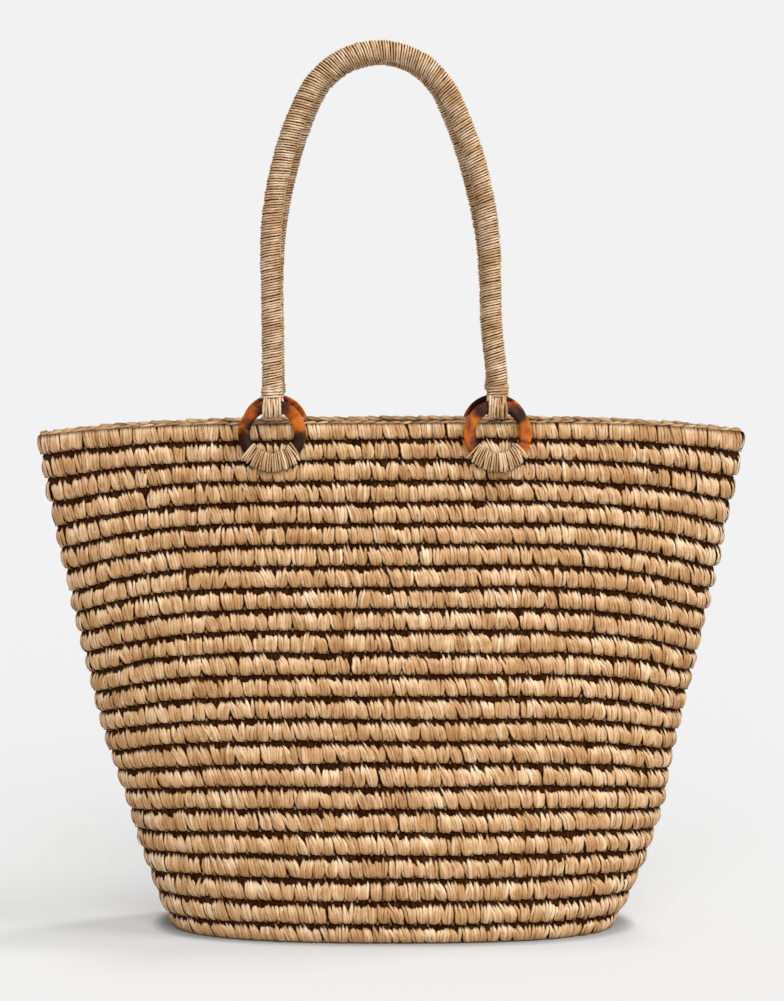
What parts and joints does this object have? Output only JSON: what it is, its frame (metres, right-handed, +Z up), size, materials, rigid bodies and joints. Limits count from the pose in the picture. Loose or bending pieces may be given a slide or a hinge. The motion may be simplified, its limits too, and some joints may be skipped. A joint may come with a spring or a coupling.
{
  "type": "beach bag",
  "caption": "Flaring crocheted straw tote with an oval base, a braided rim and two wrapped rope handles that swing on sewn-on tortoiseshell rings.",
  "frame": {"origin": "on the floor under the middle of the bag", "axes": "+Z up, +X to the right as seen from the front, front is -Y; the long side of the bag lies along X"},
  "size_m": [0.527, 0.1474, 0.657],
  "materials": {
    "raffia_crochet": "matte crocheted raffia",
    "raffia_braid": "matte braided raffia",
    "raffia_wrap": "matte raffia cord, tightly wound",
    "raffia_lashing": "matte flat raffia strands",
    "rope_core": "matte twisted rope",
    "tortoiseshell": "polished resin, amber with dark brown clouds"
  },
  "bodies": {
    "bag": {"base_panel": "raffia_crochet", "side_wall": "raffia_crochet", "rim_edging": "raffia_braid", "front_left_ring": "tortoiseshell", "front_right_ring": "tortoiseshell", "back_left_ring": "tortoiseshell", "back_right_ring": "tortoiseshell", "front_left_ring_stitches": "raffia_lashing", "front_right_ring_stitches": "raffia_lashing", "back_left_ring_stitches": "raffia_lashing", "back_right_ring_stitches": "raffia_lashing"},
    "front_handle": {"front_handle_core": "rope_core", "front_handle_wrap": "raffia_wrap", "front_handle_left_collar": "raffia_wrap", "front_handle_right_collar": "raffia_wrap", "front_handle_left_loop": "raffia_lashing", "front_handle_right_loop": "raffia_lashing"},
    "back_handle": {"back_handle_core": "rope_core", "back_handle_wrap": "raffia_wrap", "back_handle_left_collar": "raffia_wrap", "back_handle_right_collar": "raffia_wrap", "back_handle_left_loop": "raffia_lashing", "back_handle_right_loop": "raffia_lashing"}
  },
  "joints": [
    {"name": "front_handle_swing", "type": "hinge", "parent": "bag", "child": "front_handle", "pos_m": [0, -0.02801, 0.38952], "axis": [1, 0, 0], "range_deg": [0, 140]},
    {"name": "back_handle_swing", "type": "hinge", "parent": "bag", "child": "back_handle", "pos_m": [0, 0.02801, 0.38952], "axis": [-1, 0, 0], "range_deg": [0, 140]}
  ]
}
